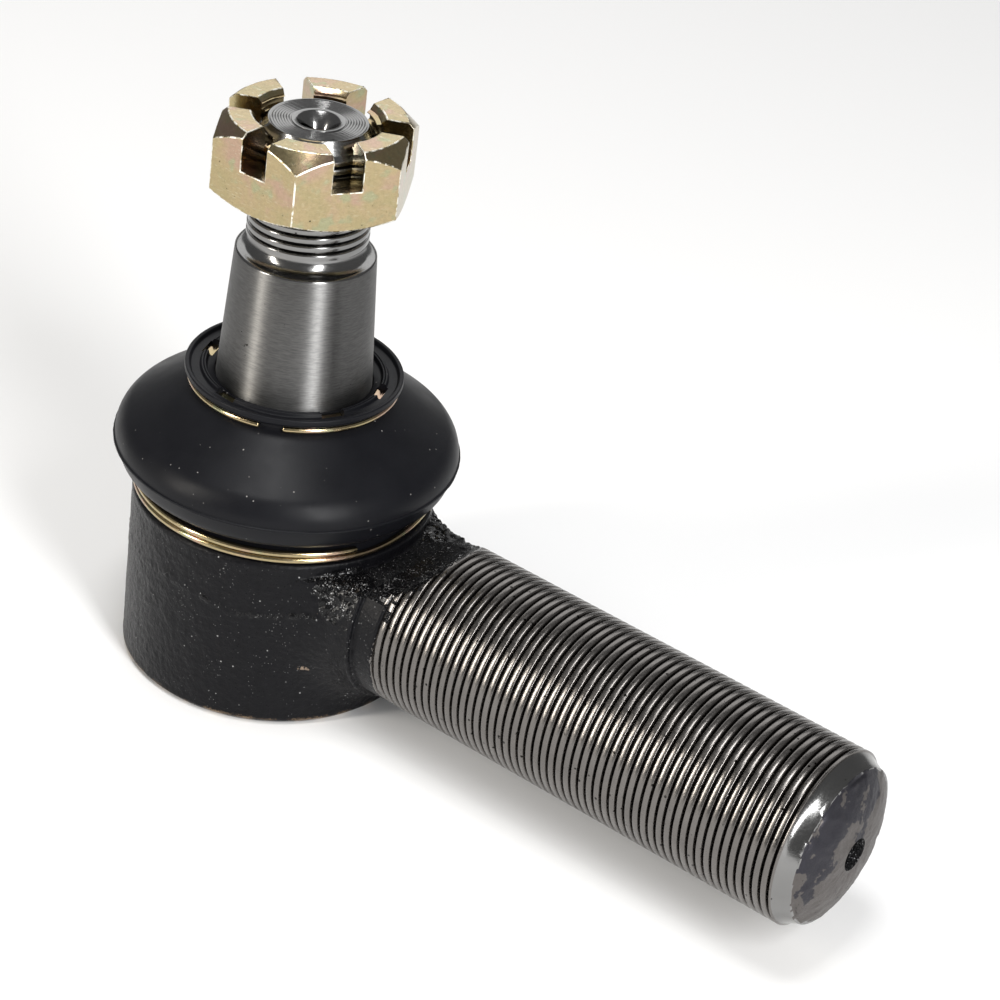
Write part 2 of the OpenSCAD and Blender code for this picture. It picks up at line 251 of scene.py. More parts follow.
class Nodes:
    """Short calls for building one material's node tree. Places are in millimetres."""

    def __init__(self, name):
        self.material = bpy.data.materials.new(name)
        self.material.use_nodes = True
        self.tree = self.material.node_tree
        self.shader = self.tree.nodes["Principled BSDF"]
        coordinates = self.add("TexCoord", {})
        self.place = self.math_vector("SCALE", coordinates["Object"], 1 / MM)

    def link(self, socket, value):
        if isinstance(value, bpy.types.NodeSocket):
            self.tree.links.new(value, socket)
        else:
            socket.default_value = value

    def add(self, kind, inputs, **settings):
        """Outputs of a new node with these settings, and these values or links on its inputs."""
        node = self.tree.nodes.new("ShaderNode" + kind)
        for key, value in settings.items():
            setattr(node, key, value)
        for key, value in inputs.items():
            self.link(node.inputs[key], value)
        return node.outputs

    def math(self, operation, a, b=0.0):
        return self.add("Math", {0: a, 1: b}, operation=operation)[0]

    def times(self, a, b):
        return self.math("MULTIPLY", a, b)

    def length(self, a, b):
        """Length of the line whose sides are a and b."""
        return self.math("SQRT", self.math("ADD", self.times(a, a), self.times(b, b)))

    def math_vector(self, operation, a, b):
        second = "Scale" if operation == "SCALE" else 1
        result = "Value" if operation == "DISTANCE" else "Vector"
        return self.add("VectorMath", {0: a, second: b}, operation=operation)[result]

    def axes(self):
        return self.add("SeparateXYZ", {0: self.place})

    def stretched(self, x, y, z):
        """The place with each axis multiplied, for streaks."""
        return self.math_vector("MULTIPLY", self.place, (x, y, z))

    def noise(self, per_mm, detail=3.0, rough=0.55, vector=None, distortion=0.0):
        inputs = {"Vector": vector or self.place, "Scale": per_mm, "Detail": detail}
        return self.add("TexNoise", {**inputs, "Roughness": rough, "Distortion": distortion})["Fac"]

    def dots(self, per_mm, low, high, patches):
        """Round specks within patches, each fading from its rim at low to its core at high."""
        cells = self.add("TexVoronoi", {"Vector": self.place, "Scale": per_mm})
        return self.times(self.ramp(cells["Distance"], low, high), patches)

    def ramp(self, value, low, high, to_low=0.0, to_high=1.0):
        """value from low to high, smoothly, as to_low to to_high."""
        inputs = {"Value": value, "From Min": low, "From Max": high, "To Min": to_low, "To Max": to_high}
        return self.add("MapRange", inputs, interpolation_type="SMOOTHSTEP")[0]

    def mixed(self, share, a, b):
        """Colour a, turning into colour b as share goes to 1."""
        inputs = {"Factor": share, "A": with_alpha(a), "B": with_alpha(b)}
        return self.add("Mix", inputs, data_type="RGBA")["Result"]

    def bump(self, height, strength, millimetres, below=None):
        inputs = {"Height": height, "Strength": strength, "Distance": millimetres * MM}
        if below is not None:
            inputs["Normal"] = below
        return self.add("Bump", inputs)[0]

    def finish(self, color, roughness, normal=None, **sockets):
        self.link(self.shader.inputs["Base Color"], with_alpha(color))
        self.link(self.shader.inputs["Roughness"], roughness)
        if normal is not None:
            self.link(self.shader.inputs["Normal"], normal)
        for key, value in sockets.items():
            self.link(self.shader.inputs[key.replace("_", " ")], value)
        return self.material


def black_paint():
    """Satin black paint over a rough forging, with grain, dust, chips and wear along the lower edge."""
    n = Nodes("satin_black_paint")
    z = n.axes()[2]
    streak = n.noise(0.9, 4, 0.6, n.stretched(1, 1, 0.25))
    grain = n.noise(3.2, 4, 0.65)
    orange = n.noise(1.1, 2, 0.5)
    dust = n.dots(0.8, 0.13, 0.08, n.ramp(n.noise(0.3, 2), 0.52, 0.66))
    fine_dust = n.dots(1.7, 0.13, 0.08, n.ramp(n.noise(0.2, 2), 0.46, 0.6, 0, 0.6))
    dust = n.math("MAXIMUM", dust, fine_dust)
    chip = n.ramp(n.noise(0.55, 4, 0.7, n.stretched(1, 1, 1.6)), 0.765, 0.775)
    # one larger chip low on the eye, wider than it is high
    flat, chip_z, chip_at = 2.2, 12, math.radians(-37.5)
    spot = (eye_r * math.cos(chip_at), eye_r * math.sin(chip_at), chip_z * flat)
    away = n.math_vector("DISTANCE", n.stretched(1, 1, flat), spot)
    away = n.math("ADD", away, n.times(n.noise(1.6, 4, 0.7), 4.5))
    chip = n.math("MAXIMUM", chip, n.ramp(away, 3.25, 3.1))
    edge_wear = n.ramp(n.math("ADD", z, n.times(grain, 2.2)), 2.5, 1.8)
    edge_wear = n.times(edge_wear, n.ramp(n.noise(0.25, 2), 0.42, 0.6))
    color = n.mixed(streak, (0.0025, 0.0025, 0.0032), (0.0065, 0.0065, 0.008))
    color = n.mixed(edge_wear, color, (0.2, 0.14, 0.09))
    color = n.mixed(dust, color, (0.34, 0.34, 0.34))
    color = n.mixed(chip, color, (0.21, 0.16, 0.12))
    roughness = n.ramp(grain, 0.3, 0.7, 0.26, 0.42)
    normal = n.bump(grain, 0.4, 0.14)
    normal = n.bump(orange, 0.5, 0.3, normal)
    return n.finish(color, roughness, normal, Specular_IOR_Level=0.14)


def wet_paint():
    """Thick glossy black paint with rough crumbs and painted highlight specks, on the relief and the first turns
    of the thread.
    """
    n = Nodes("glossy_black_paint")
    crumbs = n.ramp(n.noise(1.9, 4, 0.7), 0.4, 0.62)
    # light grey specks mixed into the colour: painted highlights
    painted_glints = n.ramp(n.noise(3.4, 2, 0.6), 0.66, 0.7)
    color = n.mixed(crumbs, (0.002, 0.002, 0.0025), (0.006, 0.006, 0.007))
    color = n.mixed(painted_glints, color, (0.3, 0.3, 0.3))
    normal = n.bump(crumbs, 0.8, 0.35)
    return n.finish(color, 0.13, normal, Specular_IOR_Level=0.24)


def rough_paint():
    """Black paint over crumbs of scale, with light specks in the colour that are painted highlights."""
    n = Nodes("crumbly_black_paint")
    crumbs = n.ramp(n.noise(3.1, 3, 0.6), 0.57, 0.62)
    patches = n.ramp(n.noise(0.4, 2, 0.5), 0.4, 0.62)
    # pale specks on the crumbs: painted highlights
    painted_glints = n.times(crumbs, patches)
    painted_glints = n.times(painted_glints, n.ramp(n.noise(5.0, 2, 0.6), 0.42, 0.52))
    color = n.mixed(painted_glints, (0.003, 0.003, 0.0035), (0.6, 0.6, 0.6))
    normal = n.bump(crumbs, 0.9, 0.3)
    return n.finish(color, n.ramp(crumbs, 0, 1, 0.22, 0.4), normal, Specular_IOR_Level=0.26)


def shank_steel():
    """Bare steel thread with painted shade in its roots, specks of paint and a brownish film."""
    n = Nodes("oiled_thread_steel")
    x, y, z = n.axes()
    height = n.math("SUBTRACT", z, socket_z)
    radius = n.length(y, height)
    blotch = n.noise(0.22, 4, 0.6)
    grain = n.noise(2.4, 4, 0.7, n.stretched(0.5, 1, 1))
    ragged = n.times(n.math("SUBTRACT", n.noise(1.7, 3, 0.65), 0.5), 0.6)
    # painted shade: the colour darkens in the thread roots
    root = n.ramp(n.math("ADD", radius, ragged), shank_r - 0.66, shank_r - 0.4, 1, 0)
    root = n.times(root, n.ramp(x, thread_to + 0.1, thread_to + 0.4, 1, 0))
    stains = n.ramp(n.noise(0.75, 4, 0.65), 0.68, 0.71)
    dots = n.dots(0.5, 0.14, 0.1, n.ramp(n.noise(0.15, 2), 0.5, 0.56))
    specks = n.math("MAXIMUM", stains, dots)
    film = n.mixed(blotch, (0.135, 0.127, 0.121), (0.205, 0.193, 0.183))
    film = n.mixed(n.times(root, 0.75), film, (0.016, 0.0145, 0.013))
    color = n.mixed(specks, film, (0.008, 0.007, 0.006))
    roughness = n.ramp(grain, 0.3, 0.7, 0.2, 0.3)
    normal = n.bump(n.noise(1.2, 2, 0.5), 0.05, 0.03)
    return n.finish(color, roughness, normal, Metallic=1.0)


def end_steel():
    """Rough sheared end face with blue-black scale in patches."""
    n = Nodes("scaled_end_steel")
    _, y, z = n.axes()
    slant = n.math("SUBTRACT", z, n.times(y, 0.6))
    patch = n.math("ADD", n.noise(0.22, 4, 0.6), n.ramp(slant, 18, 34, -0.12, 0.12))
    scale = n.ramp(patch, 0.53, 0.56)
    pits = n.ramp(n.noise(1.7, 3, 0.6), 0.68, 0.73)
    grain = n.noise(3.5, 5, 0.75)
    color = n.mixed(scale, (0.122, 0.112, 0.107), (0.045, 0.044, 0.052))
    color = n.mixed(pits, color, (0.01, 0.009, 0.009))
    normal = n.bump(grain, 0.5, 0.12)
    return n.finish(color, n.ramp(grain, 0.3, 0.7, 0.4, 0.58), normal, Metallic=1.0)


def ground_steel(name, taper):
    """Turned steel of the stud, or its taper with fine grinding lines that draw highlights upright."""
    n = Nodes(name)
    x, y, z = n.axes()
    thread_r = stud_thread["r"]
    lines = n.noise(1.0, 3, 0.7, n.stretched(0.6, 0.6, 7))
    grain = n.noise(3.0, 4, 0.7)
    soft = n.noise(0.16, 3, 0.5)
    specks = n.ramp(n.noise(0.75, 3, 0.6), 0.715, 0.73)
    above = n.ramp(z, stud_thread_from - 0.4, stud_thread_from + 0.6)
    in_thread = n.times(above, n.ramp(z, stud_thread_to + 0.1, stud_thread_to + 0.5, 1, 0))
    # painted shade: the colour darkens in the thread roots
    root = n.times(in_thread, n.ramp(n.length(x, y), thread_r - 0.7, thread_r - 0.35, 1, 0))
    color = n.mixed(soft, (0.20, 0.20, 0.198), (0.26, 0.258, 0.254))
    if taper:
        color = n.mixed(n.ramp(lines, 0.35, 0.65), (0.15, 0.149, 0.146), (0.215, 0.213, 0.209))
    color = n.mixed(n.times(root, 0.5), color, (0.07, 0.06, 0.052))
    color = n.mixed(specks, color, (0.012, 0.01, 0.01))
    normal = n.bump(lines, 0.12, 0.05)
    normal = n.bump(grain, 0.10, 0.04, normal)
    if not taper:
        return n.finish(color, n.ramp(grain, 0.25, 0.75, 0.13, 0.22), normal, Metallic=1.0)
    brushed = {"Anisotropic": 0.95, "Anisotropic_Rotation": 0.25}
    brushed["Tangent"] = n.add("Tangent", {}, direction_type="RADIAL", axis="Z")[0]
    return n.finish(color, n.ramp(grain, 0.25, 0.75, 0.42, 0.5), normal, Metallic=1.0, **brushed)


def yellow_zinc():
    """Yellow passivated zinc with soft pink and green clouds."""
    n = Nodes("yellow_zinc_plating")
    cloud = n.noise(0.16, 3, 0.5, distortion=0.6)
    fine = n.noise(2.6, 4, 0.7)
    color = n.mixed(n.ramp(cloud, 0.35, 0.52), (0.40, 0.335, 0.185), (0.44, 0.35, 0.20))
    color = n.mixed(n.ramp(cloud, 0.5, 0.66), color, (0.46, 0.32, 0.235))
    color = n.mixed(n.ramp(n.noise(0.33, 2, 0.5), 0.56, 0.7), color, (0.37, 0.365, 0.22))
    grain = n.times(n.ramp(n.noise(1.6, 5, 0.75), 0.42, 0.6), 0.22)
    color = n.mixed(grain, color, (0.2, 0.165, 0.1))
    scratch = n.ramp(n.noise(0.9, 2, 0.5, n.stretched(1, 1, 9)), 0.64, 0.67)
    color = n.mixed(n.times(scratch, 0.35), color, (0.62, 0.58, 0.45))
    specks = n.ramp(n.noise(1.5, 3, 0.6), 0.71, 0.74)
    color = n.mixed(specks, color, (0.07, 0.05, 0.03))
    normal = n.bump(fine, 0.08, 0.04)
    return n.finish(color, n.ramp(fine, 0.3, 0.7, 0.15, 0.22), normal, Metallic=1.0)


def painted_highlight_zinc():
    """Pale zinc on the nut's edge bevels: a painted highlight, uneven along the edges."""
    n = Nodes("zinc_edges_painted_highlight")
    # the pale colour is a painted highlight along the edges; noise makes it uneven
    highlight_share = n.ramp(n.noise(0.9, 3, 0.6), 0.4, 0.62)
    color = n.mixed(highlight_share, (0.4, 0.33, 0.19), (0.95, 0.93, 0.85))
    return n.finish(color, n.ramp(highlight_share, 0, 1, 0.25, 0.5), Metallic=1.0)


def boot_rubber():
    """Matte black moulded rubber with fine tooth, a few light dust specks and a soft bloom."""
    n = Nodes("moulded_rubber")
    fine = n.noise(4.5, 3, 0.6)
    broad = n.noise(0.12, 3, 0.5)
    dust = n.dots(0.75, 0.11, 0.07, n.ramp(n.noise(0.4, 1), 0.55, 0.66))
    color = n.mixed(broad, (0.0045, 0.0047, 0.006), (0.0075, 0.0078, 0.01))
    color = n.mixed(dust, color, (0.26, 0.25, 0.24))
    normal = n.bump(fine, 0.22, 0.05)
    return n.finish(color, n.ramp(broad, 0.3, 0.7, 0.34, 0.44), normal, Specular_IOR_Level=0.14)


def seal_rubber():
    """Smooth black rubber of the cover's seal."""
    n = Nodes("smooth_rubber")
    fine = n.noise(3, 3, 0.6)
    color = n.mixed(fine, (0.01, 0.01, 0.01), (0.02, 0.02, 0.021))
    return n.finish(color, n.ramp(fine, 0.3, 0.7, 0.35, 0.45), n.bump(fine, 0.15, 0.04))


def seat_resin():
    """Natural bearing resin with faint flow lines and grease smears."""
    n = Nodes("bearing_resin")
    flow = n.noise(0.5, 4, 0.6, n.stretched(1, 1, 3))
    smear = n.ramp(n.noise(0.25, 3, 0.6), 0.5, 0.7)
    color = n.mixed(flow, (0.68, 0.65, 0.56), (0.80, 0.78, 0.70))
    color = n.mixed(smear, color, (0.55, 0.42, 0.22))
    return n.finish(color, n.ramp(smear, 0, 1, 0.5, 0.25), n.bump(flow, 0.2, 0.08), Subsurface_Weight=0.1)


def spring_steel():
    """Dark hardened steel with a straw tint and a light oil film."""
    n = Nodes("hardened_spring_steel")
    tint = n.noise(0.3, 3, 0.5)
    grain = n.noise(2.5, 4, 0.7)
    color = n.mixed(tint, (0.10, 0.10, 0.115), (0.22, 0.20, 0.18))
    return n.finish(color, n.ramp(grain, 0.3, 0.7, 0.3, 0.45), n.bump(grain, 0.2, 0.05), Metallic=1.0)


paint = black_paint()
gloss = wet_paint()
crumbly = rough_paint()
thread_metal = shank_steel()
end_metal = end_steel()
stud_metal = ground_steel("turned_steel", taper=False)
taper_metal = ground_steel("ground_taper_steel", taper=True)
zinc = yellow_zinc()
edge_highlight_zinc = painted_highlight_zinc()
rubber = boot_rubber()


# ---------------- forging as a distance field


def outline_distance(points, r, h):
    """Signed distance from (r, h) to a closed outline, negative inside."""
    best = np.full(r.shape, 1e9, np.float32)
    inside = np.zeros(r.shape, bool)
    count = len(points)
    for i in range(count):
        (ax, ay), (bx, by) = points[i - 1], points[i]
        ex, ey = bx - ax, by - ay
        t = np.clip(((r - ax) * ex + (h - ay) * ey) / (ex * ex + ey * ey), 0, 1)
        best = np.minimum(best, np.hypot(r - ax - t * ex, h - ay - t * ey))
        if ay != by:
            crosses = (ay > h) != (by > h)
            inside ^= crosses & (r < ax + (h - ay) * ex / ey)
    return np.where(inside, -best, best)


def soft_union(a, b, k):
    """Union of two fields with a fillet of about k."""
    t = np.clip(0.5 + 0.5 * (b - a) / k, 0, 1)
    return b + (a - b) * t - k * t * (1 - t)


def soft_cut(a, b, k):
    """Field a without field b, with edges rounded by about k."""
    return -soft_union(-a, b, k)


def forging_field(x, y, z):
    """Distance to the forged eye, its shank root and the turned collar."""
    rho = np.hypot(x, y)
    around = np.hypot(y, z - socket_z)
    e = 0.3                        # the eye's edges are rounded by this much
    eye = outline_distance(
        [
            (-1, e), (eye_r - 1.1, e), (eye_r - e, 1.1), (eye_r - e, shoulder_z - 0.7),
            (eye_r - 0.7, shoulder_z - e), (neck_r - e, shoulder_z - e),
            (neck_r - e, shoulder_z + 3.6), (bead_r - e, shoulder_z + 4.1),
            (bead_r - e, shoulder_z + 5.2), (bead_r - 1.0, mouth_z - e), (-1, mouth_z - e),
        ],
        rho,
        z,
    ) - e
    root_oversize, root_fillet = 0.9, 5.5
    hidden_x = 12                  # where root and collar start, inside the eye
    root = np.maximum(around - shank_r - root_oversize, np.maximum(x - collar_from, hidden_x - x))
    relief = outline_distance(
        [
            (bore_r, shoulder_z), (eye_r, shoulder_z), (eye_r, scoop_z), (scoop_r - 7, scoop_z),
            (scoop_r - 3.6, scoop_z + 1.26), (scoop_r - 1.2, scoop_z + 3.5),
            (scoop_r, scoop_z + 6.3), (scoop_r, scoop_z + 20), (bore_r, scoop_z + 20),
        ],
        rho,
        z,
    )
    blended = soft_union(np.maximum(eye, z - shoulder_z), root, root_fillet)
    blended = np.maximum(blended, x - collar_from)
    blended = np.maximum(blended, 0.2 - z)
    collar = np.maximum(np.maximum(around - shank_r, x - thread_from - 0.6), hidden_x - x)
    whole = soft_cut(np.minimum(blended, collar), relief, 0.8)
    whole = np.minimum(whole, eye)
    chamfer, mouth_r = 0.9, 17.5
    seat_z = 27.5                  # where the bore starts to close over the upper seat
    throat_r, throat_z = 14.2, 32.5
    bore = outline_distance(
        [
            (-1, -5), (bore_r + chamfer, -5), (bore_r + chamfer, 0), (bore_r, chamfer),
            (bore_r, snap_low), (snap_r, snap_low), (snap_r, snap_high), (bore_r, snap_high),
            (bore_r, seat_z), (throat_r, throat_z), (mouth_r, mouth_z), (mouth_r, mouth_z + 5),
            (-1, mouth_z + 5),
        ],
        rho,
        z,
    )
    return np.maximum(whole, -bore)


def surface_net(field, low, high, step):
    """Closed quad mesh of a distance field's zero surface on a regular grid, in millimetres."""
    axes = [np.arange(a, b + step, step, dtype=np.float32) for a, b in zip(low, high)]
    x, y, z = np.meshgrid(*axes, indexing="ij")
    d = field(x, y, z)
    inside = d < 0
    shape = np.array(d.shape) - 1
    corners = [(i, j, k) for i in (0, 1) for j in (0, 1) for k in (0, 1)]

    def at(values, c):
        """The values at corner c of every cell."""
        return values[tuple(slice(o, o + n) for o, n in zip(c, shape))]

    count = sum(at(inside, c).astype(np.int8) for c in corners)
    cell = (count > 0) & (count < 8)
    where = np.argwhere(cell)
    index = np.full(shape, -1, np.int64)
    index[tuple(where.T)] = np.arange(len(where))
    total = np.zeros((len(where), 3))
    crossings = np.zeros(len(where))
    for a in corners:
        for axis in range(3):
            if a[axis]:
                continue
            b = tuple(v + (i == axis) for i, v in enumerate(a))
            da = d[tuple((where + a).T)]
            db = d[tuple((where + b).T)]
            hit = (da < 0) != (db < 0)
            t = np.where(hit, da / np.where(hit, da - db, 1), 0)
            point = np.array(a, float) + np.eye(3)[axis] * t[:, None]
            total += point * hit[:, None]
            crossings += hit
    points = (where + total / crossings[:, None]) * step + np.array([a[0] for a in axes])
    faces = []
    for axis in range(3):
        u, v = [i for i in range(3) if i != axis]
        first = [slice(1, n) for n in shape]
        first[axis] = slice(0, shape[axis])
        first = tuple(first)
        after = list(first)
        after[axis] = slice(1, shape[axis] + 1)
        change = inside[first] != inside[tuple(after)]
        base = np.argwhere(change) + np.array([0 if i == axis else 1 for i in range(3)])
        flip = inside[tuple(base.T)]
        du, dv = np.eye(3, dtype=int)[u], np.eye(3, dtype=int)[v]
        quad = [base - du - dv, base - dv, base, base - du]
        quad = np.stack([index[tuple(q.T)] for q in quad], 1)
        if axis == 1:
            flip = ~flip
        quad[~flip] = quad[~flip][:, ::-1]
        faces.append(quad)
    return points, np.concatenate(faces)


def settled(field, points, rounds=3, probe=0.05):
    """Points moved onto the field's zero surface, with the outward direction at each."""
    for _ in range(rounds + 1):
        d = field(*points.T)
        slope = np.stack([field(*(points + probe * e).T) - d for e in np.eye(3)], 1) / probe
        size = np.linalg.norm(slope, axis=1, keepdims=True)
        outward = slope / np.maximum(size, 1e-6)
        points = points - outward * np.clip(d, -0.3, 0.3)[:, None] * 0.9
    return points, outward


def fractal(points, per_mm, octaves, seed):
    """Fractal noise at each point, from about -1 to 1."""
    shift = Vector((seed * 13.7, seed * 5.3, seed * 9.1))
    roughness, gap = 0.7, 2.1
    places = (Vector(p) * per_mm + shift for p in points.tolist())
    return np.array([noise.fractal(place, roughness, gap, octaves) for place in places])


def smooth_step(value, low, high):
    """0 up to low, 1 from high on, and a smooth rise between them."""
    t = np.clip((value - low) / (high - low), 0, 1)
    return t * t * (3 - 2 * t)


def make_forging():
    """Forged eye with its shank root, parting line, rough skin and turned collar."""
    step = 0.36
    low = (-eye_r - 1, -eye_r - 1, -1)
    high = (thread_from + 1.5, eye_r + 1, mouth_z + 1)
    points, quads = surface_net(forging_field, low, high, step)
    points, outward = settled(forging_field, points)
    x, y, z = points.T
    rho, around = radii(points), radii(points, socket_z)
    bearing = np.arctan2(y, x)
    outside = smooth_step(rho, neck_r + 1.5, neck_r + 2.5)
    as_forged = outside * smooth_step(collar_from - x, 0.2, 0.9) * smooth_step(z, 0.8, 2)
    as_forged = as_forged * smooth_step(scoop_z + 1.2 - z, -0.5, 1.0)
    skin = 0.07 * fractal(points, 0.35, 4, 1) + 0.06 * fractal(points, 1.2, 3, 2)
    wobble = 0.9 * np.sin(3 * bearing + 0.6) + 0.5 * np.sin(7 * bearing)
    line_z = socket_z + 1.2 + wobble + 1.6 * smooth_step(x, 8, 26)
    ridge = np.exp(-(((z - line_z) / 0.6) ** 2))
    crumbs = np.clip(fractal(points, 1.3, 3, 3) + 0.15, 0, 1)
    parting = 0.55 * ridge * crumbs * (0.35 + 0.65 * smooth_step(bearing, -1.9, -1.2))
    off_center = np.sqrt((x - 24.5) ** 2 + (np.abs(y) - 12) ** 2 + (z - 27.2) ** 2)
    near_root = smooth_step(off_center + 1.2 * fractal(points, 0.5, 2, 13), 6.2, 3.6)
    rough = 0.45 * near_root * np.clip(fractal(points, 1.3, 3, 4) + 0.1, -0.4, 1)
    on_relief = smooth_step(z, scoop_z - 0.6, scoop_z + 0.4) * smooth_step(rho, eye_r + 3, eye_r + 6)
    paint_lumps = 0.22 * on_relief * fractal(points, 0.8, 3, 5)
    collar_edge = np.exp(-(((x - collar_from + 0.35) / 0.4) ** 2))
    collar_edge = collar_edge * smooth_step(around, shank_r - 0.4, shank_r)
    lip = 0.3 * collar_edge * np.clip(fractal(points, 1.2, 2, 12) + 0.1, 0, 1)
    height = as_forged * (skin + parting + rough - 0.06) + paint_lumps + lip
    rough_spots = np.maximum(as_forged * np.maximum(3.2 * parting, near_root), 4 * lip) > 0.45
    scoop_end = on_relief * (rho + 1.5 * fractal(points, 0.5, 2, 14) > scoop_r - 5.5) > 0.5
    points = points + outward * height[:, None]
    points[:, 2] = np.maximum(points[:, 2], 0.02)
    piece = mesh_object("housing_forging", points, quads.tolist())
    apply_modifier(piece, "SMOOTH", factor=0.35, iterations=1)
    coat(piece, paint, gloss, crumbly)
    centres = np.array([p.center for p in piece.data.polygons]) / MM
    shiny = (centres[:, 2] > scoop_z - 0.5) & (radii(centres) > eye_r + 0.1)
    rough_faces = (rough_spots | scoop_end)[quads[:, 0]]
    piece.data.polygons.foreach_set("material_index", np.where(rough_faces, 2, shiny).astype(np.int32))
    return piece


# ---------------- threads

# share of the pitch and share of the thread's depth, from a root up to the crest and down again
FLANK = [(0, 1), (0.04, 0.96), (0.09, 0.68), (0.14, 0.33), (0.18, 0.13), (0.22, 0.04), (0.32, 0)]
THREAD_SHAPE = FLANK + [(1 - share, depth) for share, depth in FLANK[:0:-1]]


def threaded_solid(name, thread, start, end, columns, before, after, fade, along_x=False, axis_z=0):
    """Closed bar with a right-hand thread from start to end.

    before and after are its plain (radius, height) rows. fade is the length over which the thread
    deepens from its start, and over which it runs out at its end.
    """
    turn = np.arange(columns) / columns
    pitch = thread["pitch"]
    shares = [share for share, _ in THREAD_SHAPE]
    depths = [depth for _, depth in THREAD_SHAPE]
    rows = [(np.full(columns, r), np.full(columns, h)) for r, h in before]
    plain = len(rows)
    for k in range(math.floor(start / pitch) - 2, math.ceil(end / pitch) + 1):
        for share in shares:
            height = np.clip((k + share + turn) * pitch, start, end)
            depth = np.interp((height / pitch - turn) % 1, shares + [1], depths + [1])
            depth = depth * np.clip((height - start) / max(fade[0], 1e-3), 0, 1)
            depth = depth * np.clip((end - height) / max(fade[1], 1e-3), 0, 1)
            rows.append((thread["r"] - thread["depth"] * depth, height))
    last_helical = len(rows) - 1
    rows += [(np.full(columns, r), np.full(columns, h)) for r, h in after]
    faces = grid_faces(len(rows), columns, wrap=False)
    # a helical row doesn't close on itself: its end meets the start of the row one turn on
    for i in range(len(rows) - 1):
        lead = len(shares) if plain <= i < last_helical else 0
        low = min(i + lead, last_helical) if lead else i
        high = min(i + 1 + lead, last_helical) if lead else i + 1
        seam = (i + 1) * columns - 1
        faces.append((seam, low * columns, high * columns, seam + columns))
    points = []
    for radius, height in rows:
        a, b = radius * np.cos(TAU * turn), radius * np.sin(TAU * turn)
        points.append(np.stack((height, a, axis_z + b) if along_x else (a, b, height), 1))
    return welded(mesh_object(name, np.concatenate(points), faces))


def make_shank():
    """Bare threaded shank with its chamfered, rough-sheared end."""
    hidden = thread_from - 4
    chamfer_r, rim_r, hole_r, drill_r = shank_r - 0.35, end_rim_r, 2.8, 1.6
    face = [(r, end_rim_x + end_dome(r)) for r in np.arange(rim_r - 0.7, end_flat_r, -0.5)]
    piece = threaded_solid(
        "shank_thread",
        shank_thread,
        thread_from,
        thread_to,
        144,
        [
            (0, hidden), (shank_r - 0.6, hidden), (shank_r - 0.6, thread_from - 0.5),
            (shank_r - 0.05, thread_from - 0.02),
        ],
        [
            (chamfer_r, thread_to + 0.15), (chamfer_r - 0.5, thread_to + 1.1),
            (chamfer_r - 1.0, thread_to + 2.1), (rim_r + 0.12, end_rim_x - 0.2), (rim_r, end_rim_x),
            (rim_r - 0.3, end_rim_x + end_dome(rim_r - 0.3)), *face, (end_flat_r, shank_end),
            (hole_r, shank_end - 0.05), (hole_r - 0.4, shank_end - 0.7), (drill_r, shank_end - 2.1),
            (drill_r, shank_end - 4.2), (0, shank_end - 4.4),
        ],
        fade=(1.0, 0.0),
        along_x=True,
        axis_z=socket_z,
    )
    points = np.array([v.co for v in piece.data.vertices]) / MM
    around = radii(points, socket_z)
    # the relief cuts the first turns away
    relief = [
        (0, scoop_z), (scoop_r - 7, scoop_z), (scoop_r - 5.4, scoop_z + 0.4),
        (scoop_r - 3.6, scoop_z + 1.26), (scoop_r - 2.2, scoop_z + 2.2),
        (scoop_r - 1.2, scoop_z + 3.3), (scoop_r - 0.5, scoop_z + 4.6), (scoop_r, scoop_z + 6.4),
    ]
    rho = radii(points)
    floor = np.interp(rho, *zip(*relief))
    cut = (rho < scoop_r) & (points[:, 2] > floor)
    points[cut, 2] = floor[cut]
    # sheared end: dents, an uneven rim and a chamfer with wear
    on_face = (points[:, 0] > end_rim_x - 0.1) & (around > hole_r + 0.1)
    bearing = np.arctan2(points[:, 2] - socket_z, points[:, 1])
    dents = 0.35 * np.abs(fractal(points, 0.16, 4, 6)) + 0.08 * np.abs(fractal(points, 0.9, 3, 7))
    points[on_face, 0] -= dents[on_face]
    uneven = 0.22 * np.sin(5 * bearing + 1) + 0.18 * np.sin(9 * bearing)
    uneven = uneven + 0.25 * fractal(points, 0.35, 3, 8)
    rim = on_face & (around > rim_r - 0.5)
    shrink = 1 - 0.6 * np.clip(uneven + 0.25, 0, 0.7) / np.maximum(around, 1)
    for axis, centre in ((1, 0.0), (2, socket_z)):
        points[rim, axis] = centre + (points[rim, axis] - centre) * shrink[rim]
    # the first turns are rough
    start_rough = smooth_step(thread_from + 4.5 - points[:, 0], 0, 3) * (around > shank_r - 0.3) * ~cut
    rough = 0.09 * fractal(points, 1.3, 3, 9) * start_rough - 0.06 * start_rough
    for axis, centre in ((1, 0.0), (2, socket_z)):
        points[:, axis] = centre + (points[:, axis] - centre) * (1 + rough / np.maximum(around, 1))
    piece.data.vertices.foreach_set("co", (points * MM).ravel())
    coat(piece, thread_metal, end_metal, gloss, crumbly, stud_metal)
    bare, sheared, glossy, crumbs, polished = range(5)
    for p in piece.data.polygons:
        centre = p.center / MM
        off_axis = math.hypot(centre.y, centre.z - socket_z)
        # the centre hole takes the black gloss paint: painted shade that makes it dark
        hole_painted_shade = centre.x > end_rim_x and off_axis < end_flat_r - 0.7
        splash = centre.x < thread_from + 7 and centre.z > socket_z + 6
        splashed = splash and noise.noise(centre * 1.4) > 0.05 + 0.09 * (centre.x - thread_from)
        if all(cut[v] for v in p.vertices):
            p.material_index = crumbs
        elif hole_painted_shade or splashed:
            p.material_index = glossy
        elif centre.x > end_rim_x - 0.15 and off_axis < rim_r + 0.02:
            p.material_index = sheared
        else:
            p.material_index = polished if centre.x > thread_to + 0.1 else bare
    return crisp(piece, 50)


